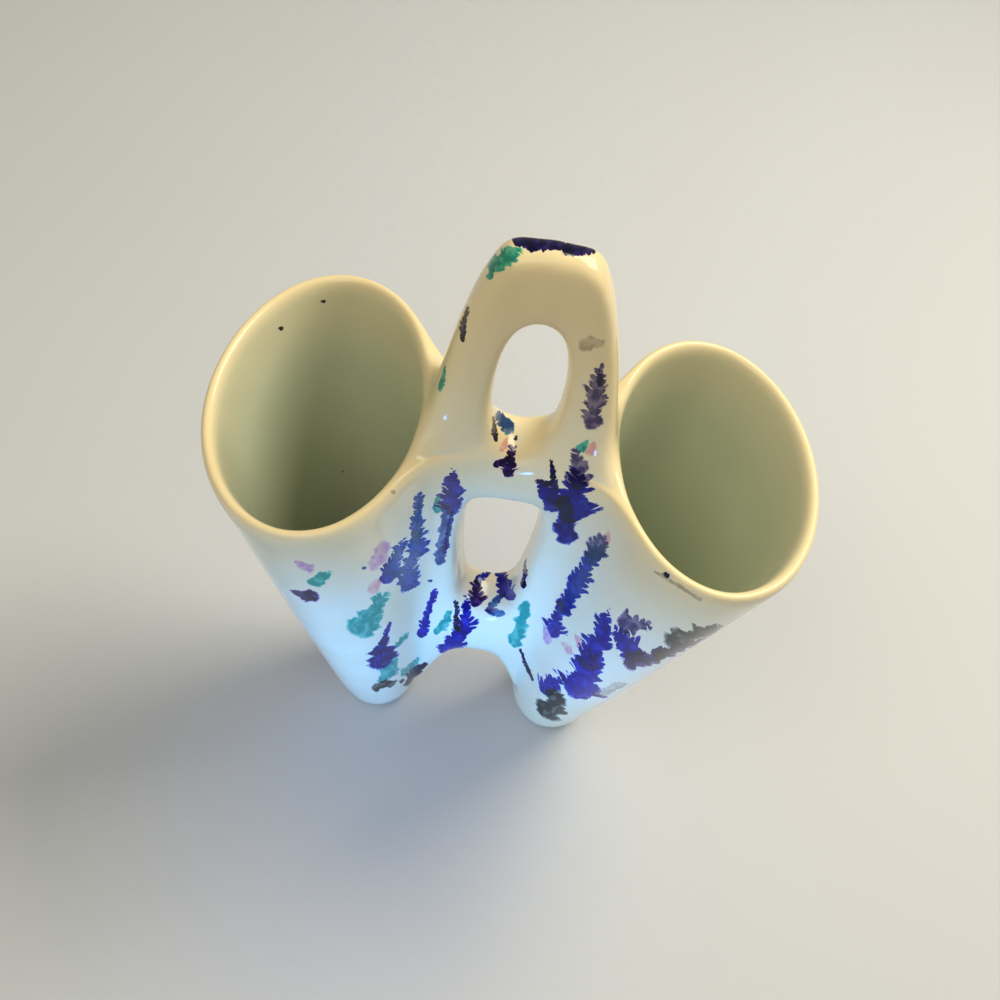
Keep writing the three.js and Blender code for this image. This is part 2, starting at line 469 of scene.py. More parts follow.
    def limb_point(self, vert: bmesh.types.BMVert, ring: LimbRing) -> Vector:
        """The place of a point on a ring of the handle's limb.

        Args:
            vert: A point that carries its station, 0 outside, 1 between, 2 at the finger hole.
            ring: The ring that it moves to.

        Returns:
            The point in the frame, in metres.
        """
        face = WEB_FACES[self.tag(vert, Layer.COLUMN)]
        inner = Vector((ring.inner[0], 0, ring.inner[1]))
        outer = Vector((ring.outer[0], 0, ring.outer[1]))
        centre = (inner + outer) / 2
        station = self.tag(vert, Layer.STATION)
        if station == 1:
            place = centre
            thickness = (ring.inner_thickness + ring.outer_thickness) / 2 * self.side
        else:
            reach = self.corner if face else self.side
            place = centre.lerp(outer if station == 0 else inner, reach)
            thickness = (ring.outer_thickness if station == 0 else ring.inner_thickness) * self.corner
        if ring is self.limb[-1]:
            place.z += self.crown[abs(face)]
            place.z += self.crown_middle if station == 1 else 0.0
        place.y = face * thickness
        return place * MM

    def draw_up_limb(self) -> None:
        """Draws the handle's limb up from the web and the lip, and its bar across to the middle plane."""
        patch = self.faces_of((self.lip_row, self.lip_row), (0, 1, 2))
        for row, ring in enumerate(self.limb, start=LIMB_ROW):
            for vert in self.push_out(patch):
                self.retag(vert, Layer.ROW, row)
                vert.co = self.limb_point(vert, ring)
            patch = self.faces_of((row, row), (0, 1, 2))
        bar = self.faces_of(self.bar_rows, (2,))
        low = self.limb[-3].inner[1]
        high = self.limb[-1].inner[1]
        bottom, top = self.bar_rows
        middle = (low + high) / 2 + self.bar_middle
        heights = {bottom: low + self.bar_underside, bottom + 1: middle, top: high}
        for vert in self.push_out(bar):
            row = self.tag(vert, Layer.ROW)
            face = WEB_FACES[self.tag(vert, Layer.COLUMN)]
            end = row in self.bar_rows
            outwards = -1 if row == bottom else 1
            lift = outwards * self.bar_round[abs(face)] if end else 0.0
            thickness = self.limb[-1].inner_thickness * (self.corner if end else self.side)
            self.retag(vert, Layer.STATION, 3)
            vert.co = Vector((0, face * thickness, heights[row] + lift)) * MM
        bmesh.ops.delete(self.bm, geom=self.faces_of(self.bar_rows, (3,)), context="FACES")

    def name_parts(self) -> None:
        """Gives every face of the right half the slot of its part, as the frame's joints divide them."""
        lower_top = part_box(Part.LOWER_BRIDGE.node)[1].z
        for face in self.bm.faces:
            stations = [self.tag(vert, Layer.STATION) for vert in face.verts]
            rows = [self.tag(vert, Layer.ROW) for vert in face.verts]
            if min(rows) >= LIMB_ROW:
                part = Part.LOOP_HANDLE
            elif max(rows) >= LIMB_ROW:
                part = Part.UPPER_BRIDGE
            elif max(stations) == 0:
                part = Part.RIGHT_CUP
            elif face.calc_center_median().z < lower_top:
                part = Part.LOWER_BRIDGE
            else:
                part = Part.UPPER_BRIDGE
            face.material_index = part.value

    def mirror(self) -> None:
        """Mirrors the right half over to the left and gives the left cup its own slot."""
        whole = self.bm.verts[:] + self.bm.edges[:] + self.bm.faces[:]
        bmesh.ops.mirror(self.bm, geom=whole, matrix=Matrix.Identity(4), merge_dist=1e-5, axis="X")
        bmesh.ops.remove_doubles(self.bm, verts=[v for v in self.bm.verts if abs(v.co.x) < 1e-5], dist=1e-6)
        for face in self.bm.faces:
            if face.material_index == Part.RIGHT_CUP.value and face.calc_center_median().x < 0:
                face.material_index = Part.LEFT_CUP.value

    def settle(self) -> None:
        """Lets the hand-made body lean: the left mouth stands higher and the handle bends to one side."""
        for vert in self.bm.verts:
            place = vert.co.copy()
            share = place.z / self.cup.mouth_height
            turn = 0.5 + 0.5 * place.y / self.cup.mouth_half_depth
            fade = self.left_side.share(-place.x) * self.below_bar.share(place.z)
            vert.co.z += self.left_mouth_rise * turn * share * share * fade
            beside = self.web_side.share(-place.x)
            vert.co.z -= self.web_sag * beside * self.arch.share(place.z)
            back = self.back.share(place.y) * self.web_middle.share(abs(place.x))
            vert.co.z += (self.sill_rise * back + self.sill_rise * beside) * self.sill.share(place.z)
            jamb = self.back.share(place.y) * self.window_side.share(-place.x)
            vert.co.x += self.window_pinch * jamb * self.window.share(place.z)
            vert.co.x -= self.handle_lean * self.handle.share(place.z)

    def mark_inside(self) -> None:
        """Writes how far inside a cup each point lies: 0 outside, 1 below the lip's inner edge."""
        inside = self.bm.verts.layers.float.new(INSIDE)
        for vert in self.bm.verts:
            row = self.tag(vert, Layer.ROW)
            vert[inside] = float(self.lip_row < row < LIMB_ROW)


@dataclass(frozen=True)
class HandWork:
    """The slight unevenness of a surface worked by hand: how deep it is and how many waves to a metre."""

    depth: float = 0.22 * MM
    broad: float = 28.0
    fine: float = 95.0
    fine_share: float = 0.3
    flat_foot: float = 4.0 * MM

    def stray(self, place: Vector) -> float:
        """How far the surface strays outwards at a place, as a share of its depth."""
        stray = noise.noise(place * self.broad) + self.fine_share * noise.noise(place * self.fine)
        return stray * smooth(place.z, 0.0, self.flat_foot)


@dataclass
class Skin:
    """The rounded skin of the whole vase, with the numbers that its finish needs."""

    mesh: bpy.types.Mesh
    points: np.ndarray
    normals: np.ndarray
    tree: BVHTree

    @classmethod
    def from_cage(cls, cage: bmesh.types.BMesh, hand: HandWork = HandWork()) -> "Skin":
        """Rounds the cage and gives it the slight unevenness of hand work.

        Args:
            cage: The closed cage.
            hand: How uneven it is.

        Returns:
            The rounded skin.
        """
        holder = show("cage", to_mesh(cage, "cage"))
        rounding = holder.modifiers.new("rounding", "SUBSURF")
        rounding.levels = SUBDIVISIONS
        rounding.render_levels = SUBDIVISIONS
        graph = bpy.context.evaluated_depsgraph_get()
        mesh = bpy.data.meshes.new_from_object(holder.evaluated_get(graph))
        bpy.data.objects.remove(holder)
        strays = [hand.stray(vert.co) for vert in mesh.vertices]
        points, normals = cls.read(mesh)
        points += normals * np.array(strays, np.float32)[:, None] * hand.depth
        mesh.vertices.foreach_set("co", points.ravel())
        mesh.update()
        points, normals = cls.read(mesh)
        rounded = bmesh.new()
        rounded.from_mesh(mesh)
        tree = BVHTree.FromBMesh(rounded)
        rounded.free()
        return cls(mesh, points, normals, tree)

    @staticmethod
    def read(mesh: bpy.types.Mesh) -> tuple[np.ndarray, np.ndarray]:
        """Reads the places and normals of a mesh's points.

        Args:
            mesh: The mesh.

        Returns:
            The places and the normals, one row for each point.
        """
        return pull(mesh.vertices, "co", 3), pull(mesh.vertices, "normal", 3)

    def write(self, name: str, values: np.ndarray) -> None:
        """Keeps numbers on the skin's points.

        Args:
            name: The attribute's name.
            values: One number, or three, for each point.
        """
        kind = "FLOAT" if values.ndim == 1 else "FLOAT_VECTOR"
        key = "value" if values.ndim == 1 else "vector"
        attribute = self.mesh.attributes.new(name, kind, "POINT")
        attribute.data.foreach_set(key, values.astype(np.float32).ravel())

    def write_fold(self, passes: int = 3) -> None:
        """Writes how sharply the skin folds at each point: above 0 on edges, below 0 in creases.

        Args:
            passes: How many times the numbers are evened out between neighbours.
        """
        ends = pull(self.mesh.edges, "vertices", 2, np.int64).ravel()
        first, second = ends.reshape(-1, 2).T
        step = self.points[second] - self.points[first]
        length = (step * step).sum(1)
        turn = ((self.normals[second] - self.normals[first]) * step).sum(1) / length
        count = np.bincount(ends, minlength=len(self.points))
        fold = np.bincount(ends, np.repeat(turn, 2), minlength=len(self.points)) / count
        for _ in range(passes):
            near = np.stack((fold[second], fold[first]), axis=1).ravel()
            fold = 0.5 * fold + 0.5 * np.bincount(ends, near, minlength=len(self.points)) / count
        self.write(FOLD, fold * MM)
        self.write(NORMAL, self.normals)

    def part_mesh(self, part: Part) -> bpy.types.Mesh:
        """Cuts one part out of the skin, closes it where it was joined and keeps the skin's soft shading.

        Args:
            part: The part.

        Returns:
            The part's closed mesh, with the glaze in slot 0 and the bare joint faces in slot 1.
        """
        bm = bmesh.new()
        bm.from_mesh(self.mesh)
        others = [face for face in bm.faces if face.material_index != part.value]
        bmesh.ops.delete(bm, geom=others, context="FACES")
        for face in bm.faces:
            face.material_index = 0
            face.smooth = True
        rims = [edge for edge in bm.edges if edge.is_boundary]
        caps = bmesh.ops.holes_fill(bm, edges=rims, sides=0)["faces"]
        caps = bmesh.ops.poke(bm, faces=caps, center_mode="MEAN")["faces"]
        for face in caps:
            face.material_index = 1
        mesh = to_mesh(bm, part.node)
        kept = mesh.attributes[NORMAL]
        normals = pull(kept.data, "vector", 3)
        mesh.attributes.remove(kept)
        mesh.normals_split_custom_set_from_vertices(normals.tolist())
        return mesh


@dataclass(frozen=True)
class PhotoCamera:
    """The photograph's camera, fitted to the two mouths and the handle; its image is 1000 pixels square."""

    azimuth: float = radians(-5.348)
    elevation: float = radians(53.0)
    roll: float = radians(12.458)
    place: Triple = (-23.6 * MM, -238.7 * MM, 434.9 * MM)
    image_size: float = 1000.0
    focal_pixels: float = 1300.0
    sensor: float = 36.0

    def axes(self) -> Matrix:
        """The camera's right, up and backward directions as a matrix's columns.

        Returns:
            The turn from the camera's own axes to the frame's.
        """
        back = Vector((
            sin(self.azimuth) * cos(self.elevation),
            -cos(self.azimuth) * cos(self.elevation),
            sin(self.elevation),
        ))
        level = Vector((0, 0, 1)).cross(back).normalized()
        steep = back.cross(level)
        right = level * cos(self.roll) + steep * sin(self.roll)
        up = steep * cos(self.roll) - level * sin(self.roll)
        return Matrix((right, up, back)).transposed()

    def ray(self, pixel: Pair) -> Vector:
        """The direction in which the camera sees a pixel.

        Args:
            pixel: Across and down from the image's upper left corner.

        Returns:
            A unit direction in the frame.
        """
        half = self.image_size / 2
        seen = Vector((pixel[0] - half, half - pixel[1], -self.focal_pixels))
        return (self.axes() @ seen).normalized()

    def stand(self) -> None:
        """Puts the camera in the scene."""
        data = bpy.data.cameras.new("photo_camera")
        data.sensor_width = self.sensor
        data.lens = self.sensor * self.focal_pixels / self.image_size
        data.clip_start = 1 * MM
        camera = show("photo_camera", data)
        camera.matrix_world = Matrix.Translation(self.place) @ self.axes().to_4x4()
        bpy.context.scene.camera = camera


@dataclass(frozen=True)
class Stain:
    """How one stain looks in the glaze: the light it lets through, its strength, and how much it feathers."""

    colour: Triple
    strength: float
    feather: float

    @property
    def grows_ferns(self) -> bool:
        """Whether dabs of this stain grow into ferns and don't stay plain spots."""
        return self.feather > 0.5


class Dye(Enum):
    """The stains that the potter dabbed on the wet glaze."""

    COBALT = Stain((0.060, 0.110, 0.690), 2.5, 1.0)
    NAVY = Stain((0.070, 0.060, 0.340), 2.2, 0.9)
    VIOLET = Stain((0.270, 0.240, 0.480), 1.6, 0.9)
    PLUM = Stain((0.150, 0.060, 0.400), 2.2, 1.0)
    POOL = Stain((0.060, 0.080, 0.520), 2.3, 0.3)
    INK = Stain((0.120, 0.080, 0.330), 1.9, 0.3)
    TEAL = Stain((0.090, 0.540, 0.580), 1.3, 0.5)
    LILAC = Stain((0.720, 0.500, 0.900), 1.1, 0.2)
    PINK = Stain((0.880, 0.520, 0.680), 0.85, 0.2)
    SLATE = Stain((0.130, 0.270, 0.600), 1.6, 0.8)
    SMOKE = Stain((0.170, 0.190, 0.220), 1.7, 0.4)
    HAZE = Stain((0.460, 0.430, 0.420), 0.6, 0.3)


@dataclass(frozen=True)
class Mark:
    """One dab of stain: where it starts and ends on the photograph, how wide it is there, and its dye."""

    name: str
    tail: Pair
    drop: Pair
    width: float
    dye: Dye


@dataclass(frozen=True)
class Patch:
    """One dab of stain laid on the skin, in metres, with flat axes square to the way it is looked at."""

    centre: Vector
    along: Vector
    across: Vector
    normal: Vector
    half_length: float
    half_width: float
    dye: Dye
    seed: float

    def measure(self, points: np.ndarray) -> list[np.ndarray]:
        """Measures points from the patch's centre.

        Args:
            points: Their places, one row each.

        Returns:
            How far each lies along the patch, across it and off its plane.
        """
        offset = points - np.array(self.centre, np.float32)
        return [offset @ np.array(axis, np.float32) for axis in (self.along, self.across, self.normal)]


@dataclass(frozen=True)
class Brush:
    """The half lengths in millimetres of one kind of dab, and its half widths as shares of them."""

    length: Pair
    stoutness: Pair


@dataclass
class Decoration:
    """All the dabs of stain, and the layers in which they are kept on the skin's points.

    The plain lengths are in millimetres.
    """

    camera: PhotoCamera
    skin: Skin
    # How a mark is laid on the skin, and where its reach fades out.
    spread: float = 1.05
    least_square: float = 0.5
    least_facing: float = 0.3
    seed_step: float = 1.37
    feather_margin: Pair = (1.15, 1.5)
    edge_room: float = 2.0
    depth_room: float = 5.0
    turned: Pair = (0.15, 5.0)
    edge_on: Pair = (-0.10, 12.0)
    cover_fade: float = 1.0
    # The dabs where the photograph doesn't show the vase.
    hidden_count: int = 34
    hidden_seed: int = 11
    hidden_seeds: Pair = (0.0, 50.0)
    hidden_low: float = 8.0
    hidden_inside: float = 0.01
    hidden_apart: float = 12.0
    hidden_sides: Pair = (20.0, 90.0)
    hidden_lean: float = 0.45
    hidden_run: Pair = (1.2, 1.9)
    hidden_room: float = 2.0
    hidden_fray: float = 1.7
    hidden_width: float = 1.5
    ray_step: int = 4
    fern: Brush = Brush((7.0, 19.0), (0.14, 0.26))
    spot: Brush = Brush((3.0, 7.0), (0.3, 0.5))
    hidden_dyes: tuple[Dye, ...] = (
        *(Dye.COBALT,) * 6, *(Dye.TEAL,) * 4, *(Dye.NAVY,) * 2, Dye.VIOLET, Dye.LILAC, Dye.PINK, Dye.SLATE,
    )
    # The marks that the photograph shows.
    marks: tuple[Mark, ...] = (
        Mark("handle_top_band", (594, 251), (514, 240), 16, Dye.NAVY),
        Mark("handle_top_corner", (516, 250), (491, 268), 19, Dye.TEAL),
        Mark("handle_top_run", (494, 264), (489, 278), 8, Dye.TEAL),
        Mark("handle_side_feather", (466, 307), (462, 341), 7, Dye.NAVY),
        Mark("handle_root_run", (445, 366), (440, 391), 6, Dye.TEAL),
        Mark("limb_stem", (602, 364), (599, 386), 5, Dye.VIOLET),
        Mark("limb_feather", (599, 376), (590, 427), 22, Dye.VIOLET),
        Mark("limb_haze", (603, 343), (581, 346), 13, Dye.HAZE),
        Mark("saddle_slate", (496, 414), (512, 430), 18, Dye.SLATE),
        Mark("saddle_stem", (493, 417), (496, 441), 7, Dye.NAVY),
        Mark("saddle_blush", (507, 439), (501, 450), 10, Dye.PINK),
        Mark("saddle_dot", (516, 436), (516, 440), 4, Dye.NAVY),
        Mark("saddle_branch", (514, 448), (506, 475), 13, Dye.PLUM),
        Mark("saddle_branch_side", (510, 456), (495, 466), 8, Dye.PLUM),
        Mark("shoulder_tint", (587, 441), (579, 450), 10, Dye.TEAL),
        Mark("shoulder_blush", (594, 443), (589, 454), 11, Dye.PINK),
        Mark("shoulder_feather", (577, 454), (575, 486), 24, Dye.VIOLET),
        Mark("shoulder_fern", (577, 478), (569, 518), 36, Dye.COBALT),
        Mark("shoulder_stem", (551, 461), (554, 490), 7, Dye.NAVY),
        Mark("shoulder_twig", (536, 481), (552, 483), 6, Dye.NAVY),
        Mark("shoulder_lobe", (543, 486), (558, 508), 18, Dye.COBALT),
        Mark("shoulder_drop", (565, 500), (566, 541), 20, Dye.POOL),
        Mark("window_fern", (453, 475), (453, 512), 24, Dye.COBALT),
        Mark("window_streak", (447, 506), (439, 564), 14, Dye.SLATE),
        Mark("window_streak_edge", (452, 512), (444, 554), 6, Dye.COBALT),
        Mark("window_bead", (437, 496), (437, 512), 10, Dye.TEAL),
        Mark("left_spine_top", (418, 496), (417, 541), 14, Dye.COBALT),
        Mark("left_spine", (419, 534), (407, 588), 30, Dye.COBALT),
        Mark("left_lobe", (401, 545), (387, 581), 24, Dye.COBALT),
        Mark("left_lilac", (388, 545), (372, 568), 20, Dye.LILAC),
        Mark("left_blush", (381, 580), (370, 591), 13, Dye.PINK),
        Mark("outer_lilac", (296, 563), (312, 569), 15, Dye.LILAC),
        Mark("outer_teal", (328, 573), (309, 582), 15, Dye.TEAL),
        Mark("outer_navy", (293, 592), (316, 598), 17, Dye.INK),
        Mark("left_teal", (382, 598), (360, 634), 28, Dye.TEAL),
        Mark("middle_twig", (434, 591), (421, 637), 10, Dye.COBALT),
        Mark("middle_teal", (451, 612), (436, 634), 9, Dye.TEAL),
        Mark("low_stem", (390, 623), (384, 645), 7, Dye.COBALT),
        Mark("low_drop", (384, 641), (381, 666), 27, Dye.POOL),
        Mark("low_teal_bead", (408, 634), (397, 647), 10, Dye.TEAL),
        Mark("low_teal", (396, 660), (382, 682), 17, Dye.TEAL),
        Mark("low_teal_side", (417, 657), (403, 676), 13, Dye.TEAL),
        Mark("left_foot_smudge", (395, 682), (374, 688), 14, Dye.SMOKE),
        Mark("left_foot_dot", (399, 680), (405, 681), 6, Dye.SMOKE),
        Mark("left_foot_streak", (421, 660), (408, 688), 15, Dye.NAVY),
        Mark("left_foot_twig", (426, 663), (417, 672), 7, Dye.NAVY),
        Mark("web_fern", (466, 602), (464, 634), 15, Dye.COBALT),
        Mark("web_line", (455, 601), (458, 631), 6, Dye.NAVY),
        Mark("web_fern_low", (461, 628), (450, 655), 26, Dye.COBALT),
        Mark("web_star", (477, 581), (475, 605), 13, Dye.PLUM),
        Mark("web_twig", (490, 571), (476, 582), 8, Dye.COBALT),
        Mark("web_branch", (499, 571), (511, 598), 15, Dye.COBALT),
        Mark("web_loop_side", (504, 593), (487, 611), 7, Dye.SLATE),
        Mark("web_loop_base", (485, 610), (504, 614), 7, Dye.SLATE),
        Mark("window_wall", (527, 558), (521, 589), 8, Dye.NAVY),
        Mark("right_teal", (526, 604), (514, 646), 14, Dye.TEAL),
        Mark("right_line", (520, 649), (533, 680), 4, Dye.NAVY),
        Mark("right_fern_top", (604, 538), (590, 562), 20, Dye.VIOLET),
        Mark("right_fern", (597, 550), (560, 612), 20, Dye.COBALT),
        Mark("right_drop", (560, 604), (552, 635), 18, Dye.COBALT),
        Mark("right_blush", (609, 532), (604, 544), 9, Dye.PINK),
        Mark("right_lilac", (544, 627), (548, 643), 8, Dye.LILAC),
        Mark("right_pink_low", (562, 643), (572, 653), 9, Dye.PINK),
        Mark("right_pink_side", (575, 635), (582, 647), 9, Dye.PINK),
        Mark("big_fern", (606, 617), (588, 668), 27, Dye.COBALT),
        Mark("big_fern_drop", (594, 656), (574, 694), 37, Dye.COBALT),
        Mark("big_fern_side", (617, 632), (634, 654), 24, Dye.COBALT),
        Mark("big_fern_tip", (648, 626), (620, 622), 22, Dye.VIOLET),
        Mark("flank_patch", (664, 655), (629, 665), 27, Dye.INK),
        Mark("flank_streak", (718, 623), (668, 648), 30, Dye.SMOKE),
        Mark("flank_smear", (712, 632), (648, 664), 24, Dye.NAVY),
        Mark("flank_haze", (627, 679), (592, 700), 16, Dye.HAZE),
        Mark("right_foot_fern", (562, 679), (543, 691), 20, Dye.COBALT),
        Mark("right_foot_smudge", (557, 694), (548, 717), 24, Dye.SMOKE),
        Mark("rim_speck_line", (654, 571), (701, 600), 4, Dye.HAZE),
        Mark("rim_speck", (664, 574), (669, 576), 5, Dye.NAVY),
        Mark("inside_speck", (321, 301), (325, 301), 4, Dye.SMOKE),
        Mark("inside_speck_low", (279, 328), (283, 328), 4, Dye.SMOKE),
        Mark("left_speck", (362, 568), (366, 568), 5, Dye.SLATE),
        Mark("twig_speck", (428, 581), (432, 581), 4, Dye.SLATE),
        Mark("neck_speck", (391, 492), (395, 492), 4, Dye.HAZE),
    )

    def lay(self, mark: Mark, seed: float) -> Patch | None:
        """Lays a mark of the photograph on the skin that the camera sees there.

        Args:
            mark: The mark.
            seed: A number that makes its feathering its own.

        Returns:
            The patch of skin, or nothing where the mark misses the vase.
        """
        start = Vector(self.camera.place)
        middle = tuple((a + b) / 2 for a, b in zip(mark.tail, mark.drop))
        hit, normal, _, distance = self.skin.tree.ray_cast(start, self.camera.ray(middle))
        if hit is None:
            return None

        def on_plane(pixel: Pair) -> Vector:
            """Where the camera's ray through a pixel meets the skin's plane at the mark."""
            ray = self.camera.ray(pixel)
            return start + ray * ((hit - start).dot(normal) / min(ray.dot(normal), -self.least_facing))

        sight = self.camera.ray(middle)
        square = -sight.dot(normal)
        slope = (sight + normal * square).normalized()
        steep = max(square, self.least_square)
        sight = slope * sqrt(max(1 - steep * steep, 0.0)) - normal * steep
        along = on_plane(mark.drop) - on_plane(mark.tail)
        along -= sight * along.dot(sight)
        half_length = along.length / 2
        along.normalize()
        half_width = self.spread * mark.width / 2 * distance / self.camera.focal_pixels
        return Patch(hit, along, sight.cross(along), normal, half_length, half_width, mark.dye, seed)

    def seen_points(self) -> np.ndarray:
        """Finds where the camera's rays, a few pixels apart, meet the skin.

        Returns:
            The places, one row each.
        """
        start = Vector(self.camera.place)
        steps = range(0, int(self.camera.image_size), self.ray_step)
        hits = [self.skin.tree.ray_cast(start, self.camera.ray((x, y)))[0] for y in steps for x in steps]
        return np.array([hit for hit in hits if hit is not None], np.float32)

    def hidden(self, taken: list[Patch]) -> list[Patch]:
        """Scatters more dabs over the sides that the photograph doesn't show.

        Args:
            taken: The patches that are already laid.

        Returns:
            The new patches.
        """
        pick = random.Random(self.hidden_seed)
        inside = pull(self.skin.mesh.attributes[INSIDE].data, "value", 1).ravel()
        low = self.skin.points.min(0).round(4).tolist()
        high = self.skin.points.max(0).round(4).tolist()
        seen = self.seen_points()
        patches: list[Patch] = []
        while len(patches) < self.hidden_count:
            spot = Vector([pick.uniform(*ends) for ends in zip(low, high)])
            centre, normal, face, _ = self.skin.tree.find_nearest(spot)
            corner = self.skin.mesh.polygons[face].vertices[0]
            if centre.z < self.hidden_low * MM or inside[corner] > self.hidden_inside:
                continue
            near = min((centre - other.centre).length for other in taken + patches)
            lonely = abs(centre.x) > pick.uniform(*self.hidden_sides) * MM
            along = Vector((pick.uniform(-self.hidden_lean, self.hidden_lean), 0, -1))
            along = (along - normal * along.dot(normal)).normalized()
            if lonely or near < self.hidden_apart * MM:
                continue
            dye = pick.choice(self.hidden_dyes)
            brush = self.fern if dye.value.grows_ferns else self.spot
            half_length = pick.uniform(*brush.length) * MM
            half_width = self.hidden_width * MM + half_length * pick.uniform(*brush.stoutness)
            patch = Patch(centre, along, along.cross(normal), normal, half_length, half_width, dye, 0.0)
            if self.shows(patch, seen):
                continue
            run = pick.uniform(*self.hidden_run)
            seed = pick.uniform(*self.hidden_seeds)
            patches.append(replace(patch, along=along / run, half_length=half_length / run, seed=seed))
        return patches

    def shows(self, patch: Patch, seen: np.ndarray) -> bool:
        """Says whether a patch could reach a part of the skin that the camera sees.

        Args:
            patch: The patch.
            seen: The points that the camera sees.

        Returns:
            Whether one of them lies in the patch's box.
        """
        a, b, depth = [np.abs(measure) for measure in patch.measure(seen)]
        length = patch.half_length + self.hidden_room * MM
        width = self.hidden_fray * patch.half_width + self.hidden_room * MM
        return bool(((a < length) & (b < width) & (depth < self.hidden_apart * MM)).any())

    def inwards(self, patch: Patch, a: np.ndarray, b: np.ndarray, depth: np.ndarray) -> np.ndarray:
        """Measures how far within a patch's reach the skin's points lie.

        Args:
            patch: The patch.
            a: The points' places along it.
            b: Their places across it.
            depth: Their places off its plane.

        Returns:
            A distance for each point, above 0 where the patch may stain it.
        """
        sight = np.array(patch.along.cross(patch.across).normalized(), np.float32)
        normal = np.array(patch.normal, np.float32)
        margin = lerp(*self.feather_margin, patch.dye.value.feather)
        reach = margin * patch.half_width + self.edge_room * MM
        return np.minimum.reduce((
            patch.half_length + reach - np.abs(a),
            reach - np.abs(b),
            patch.half_length + self.depth_room * MM - np.abs(depth),
            (self.skin.normals @ normal - self.turned[0]) * self.turned[1] * MM,
            (self.edge_on[0] - self.skin.normals @ sight) * self.edge_on[1] * MM,
        ))

    def dab(self) -> None:
        """Lays every mark and writes the layers of numbers that the glaze reads."""
        patches = [self.lay(mark, self.seed_step * number) for number, mark in enumerate(self.marks, start=1)]
        missed = [mark.name for mark, patch in zip(self.marks, patches) if patch is None]
        if missed:
            log.warning("marks that miss the vase: %s", missed)
        patches = [patch for patch in patches if patch is not None]
        patches += self.hidden(patches)
        patches.sort(key=lambda patch: -patch.half_length * patch.half_width)
        count = len(self.skin.points)
        free = np.ones((STAIN_LAYERS, count), bool)
        layers = {
            PLACE: np.full((STAIN_LAYERS, count, 3), FAR_AWAY, np.float32),
            REACH: np.ones((STAIN_LAYERS, count, 3), np.float32),
            STAIN: np.ones((STAIN_LAYERS, count, 3), np.float32),
            COVER: np.zeros((STAIN_LAYERS, count), np.float32),
        }
        for patch in patches:
            a, b, depth = patch.measure(self.skin.points)
            inwards = self.inwards(patch, a, b, depth)
            near = inwards > 0
            fits = [layer for layer in range(STAIN_LAYERS) if free[layer][near].all()]
            layer = fits[0] if fits else STAIN_LAYERS - 1
            if not fits:
                log.warning("a dab is cut by its neighbours at %s", tuple(patch.centre))
                near &= free[layer]
            free[layer][near] = False
            stain = patch.dye.value
            place = np.stack((a[near], b[near], np.full(near.sum(), patch.seed * MM)), 1) / MM
            size = (patch.half_length / MM, patch.half_width / MM, stain.feather)
            cover = stain.strength * np.clip(inwards[near] / MM - self.cover_fade, 0, 1)
            for name, values in zip(layers, (place, size, stain.colour, cover)):
                layers[name][layer][near] = values
        for layer in range(STAIN_LAYERS):
            for name, values in layers.items():
                self.skin.write(f"{name}{layer}", values[layer])
        log.info("decoration: %d dabs, layers used %s", len(patches), [int((~f).sum()) for f in free])


class Value:
    """A value inside a material's nodes; plain arithmetic on it draws Math nodes."""

    def __init__(self, sketch: "Sketch", socket: bpy.types.NodeSocket) -> None:
        """Holds the socket that the value comes out of."""
        self.sketch = sketch
        self.socket = socket

    def __add__(self, other: "Value | float") -> "Value":
        """This and another added up."""
        return self.sketch.math("ADD", self, other)

    def __sub__(self, other: "Value | float") -> "Value":
        """This less another."""
        return self.sketch.math("SUBTRACT", self, other)

    def __rsub__(self, other: float) -> "Value":
        """A plain number less this."""
        return self.sketch.math("SUBTRACT", other, self)

    def __mul__(self, other: "Value | float") -> "Value":
        """This times another."""
        return self.sketch.math("MULTIPLY", self, other)

    def __truediv__(self, other: "Value | float") -> "Value":
        """This divided by another."""
        return self.sketch.math("DIVIDE", self, other)

    def __pow__(self, other: "Value | float") -> "Value":
        """This raised to a power."""
        return self.sketch.math("POWER", self, other)

    def __abs__(self) -> "Value":
        """This without its sign."""
        return self.sketch.math("ABSOLUTE", self)

    def times(self, factor: "Value | float", plus: "Value | float") -> "Value":
        """This times a factor, with something added, in one node."""
        return self.sketch.math("MULTIPLY_ADD", self, factor, plus)


@dataclass(frozen=True)
class Ramp:
    """A soft step: from start at low to end at high."""

    low: Value | float
    high: Value | float
    start: float = 0.0
    end: float = 1.0


